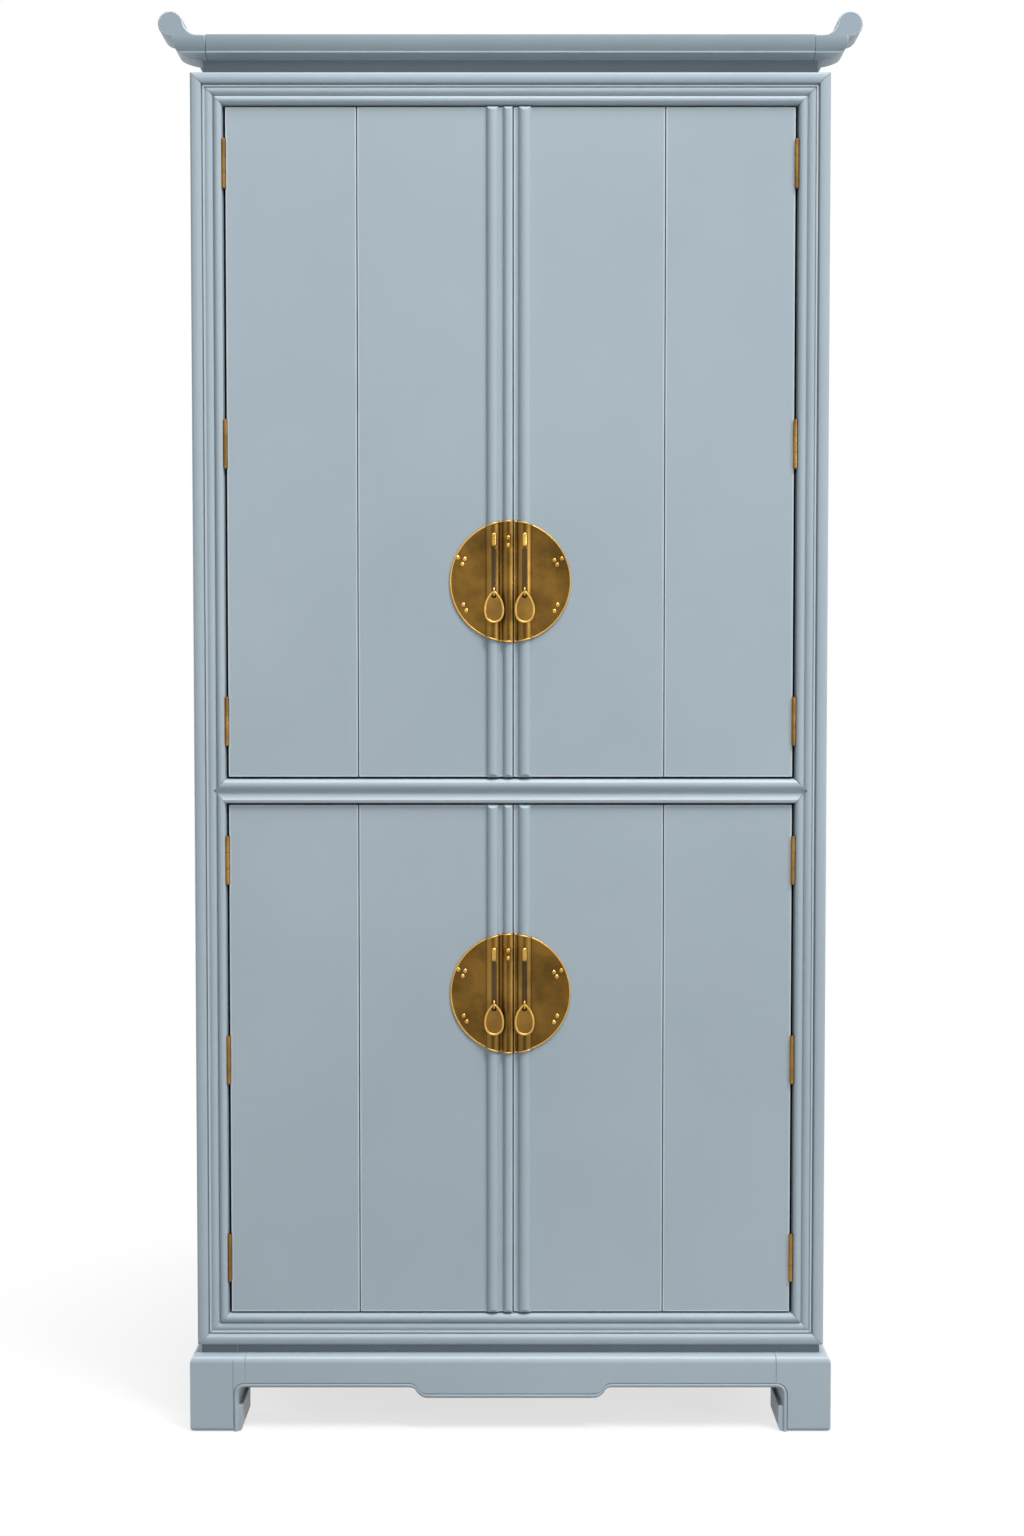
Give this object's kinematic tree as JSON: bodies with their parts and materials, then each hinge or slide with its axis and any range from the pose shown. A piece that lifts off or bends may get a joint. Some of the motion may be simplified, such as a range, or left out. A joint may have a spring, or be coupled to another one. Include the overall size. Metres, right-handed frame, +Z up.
{
  "type": "hutch",
  "caption": "Tall painted hutch with two tiers of plank doors, moulded face frame, round split brass plates with drop pulls, hoof feet and an upturned scroll top.",
  "frame": {"origin": "on the floor under the middle of the whole object", "axes": "+Z up; -Y the way the doors face; +X to the right as seen from the front"},
  "size_m": [1.03, 0.516, 2.102],
  "materials": {
    "paint": "satin grey-blue paint over wood",
    "interior_wood": "clear-finished wood",
    "hinge_brass": "dull brass",
    "aged_brass": "antique brass with brown patina and rubbed edges"
  },
  "bodies": {
    "cabinet": {"leg_front_left": "paint", "leg_front_right": "paint", "leg_rear_left": "paint", "leg_rear_right": "paint", "apron_front": "paint", "apron_rear": "paint", "apron_left": "paint", "apron_right": "paint", "waist_rails": "paint", "stile_left": "paint", "stile_right": "paint", "rail_top": "paint", "rail_middle": "paint", "rail_bottom": "paint", "side_planks_left": "paint", "side_planks_right": "paint", "back_boards": "interior_wood", "carcass_boards": "interior_wood", "shelves": "interior_wood", "shelf_cleats": "interior_wood", "neck_rails": "paint", "top_panel": "paint", "top_rails": "paint", "flange_left": "paint", "flange_right": "paint", "door_stops": "interior_wood", "hinge_frame_leaves": "hinge_brass", "hinge_pins": "hinge_brass"},
    "upper_left_door": {"upper_left_planks": "paint", "upper_left_reeds": "paint", "upper_left_battens": "paint", "upper_left_hinge_leaves": "hinge_brass", "upper_left_plate": "aged_brass", "upper_left_studs": "aged_brass", "upper_left_post_and_eye": "aged_brass"},
    "upper_left_drop": {"upper_left_pull": "aged_brass"},
    "upper_right_door": {"upper_right_planks": "paint", "upper_right_reeds": "paint", "upper_right_battens": "paint", "upper_right_hinge_leaves": "hinge_brass", "upper_right_plate": "aged_brass", "upper_right_studs": "aged_brass", "upper_right_post_and_eye": "aged_brass"},
    "upper_right_drop": {"upper_right_pull": "aged_brass"},
    "lower_left_door": {"lower_left_planks": "paint", "lower_left_reeds": "paint", "lower_left_battens": "paint", "lower_left_hinge_leaves": "hinge_brass", "lower_left_plate": "aged_brass", "lower_left_studs": "aged_brass", "lower_left_post_and_eye": "aged_brass"},
    "lower_left_drop": {"lower_left_pull": "aged_brass"},
    "lower_right_door": {"lower_right_planks": "paint", "lower_right_reeds": "paint", "lower_right_battens": "paint", "lower_right_hinge_leaves": "hinge_brass", "lower_right_plate": "aged_brass", "lower_right_studs": "aged_brass", "lower_right_post_and_eye": "aged_brass"},
    "lower_right_drop": {"lower_right_pull": "aged_brass"}
  },
  "joints": [
    {"name": "upper_left_door_swing", "type": "hinge", "parent": "cabinet", "child": "upper_left_door", "pos_m": [-0.421, -0.23595, 1.4745], "axis": [0, 0, -1], "range_deg": [0, 120]},
    {"name": "upper_left_pull_swing", "type": "hinge", "parent": "upper_left_door", "child": "upper_left_drop", "pos_m": [-0.0243, -0.2472, 1.2554], "axis": [-1, 0, 0], "range_deg": [0, 80]},
    {"name": "upper_right_door_swing", "type": "hinge", "parent": "cabinet", "child": "upper_right_door", "pos_m": [0.421, -0.23595, 1.4745], "axis": [0, 0, 1], "range_deg": [0, 120]},
    {"name": "upper_right_pull_swing", "type": "hinge", "parent": "upper_right_door", "child": "upper_right_drop", "pos_m": [0.021, -0.2472, 1.2554], "axis": [-1, 0, 0], "range_deg": [0, 80]},
    {"name": "lower_left_door_swing", "type": "hinge", "parent": "cabinet", "child": "lower_left_door", "pos_m": [-0.421, -0.23595, 0.559], "axis": [0, 0, -1], "range_deg": [0, 120]},
    {"name": "lower_left_pull_swing", "type": "hinge", "parent": "lower_left_door", "child": "lower_left_drop", "pos_m": [-0.0243, -0.2472, 0.6424], "axis": [-1, 0, 0], "range_deg": [0, 80]},
    {"name": "lower_right_door_swing", "type": "hinge", "parent": "cabinet", "child": "lower_right_door", "pos_m": [0.421, -0.23595, 0.559], "axis": [0, 0, 1], "range_deg": [0, 120]},
    {"name": "lower_right_pull_swing", "type": "hinge", "parent": "lower_right_door", "child": "lower_right_drop", "pos_m": [0.021, -0.2472, 0.6424], "axis": [-1, 0, 0], "range_deg": [0, 80]}
  ]
}
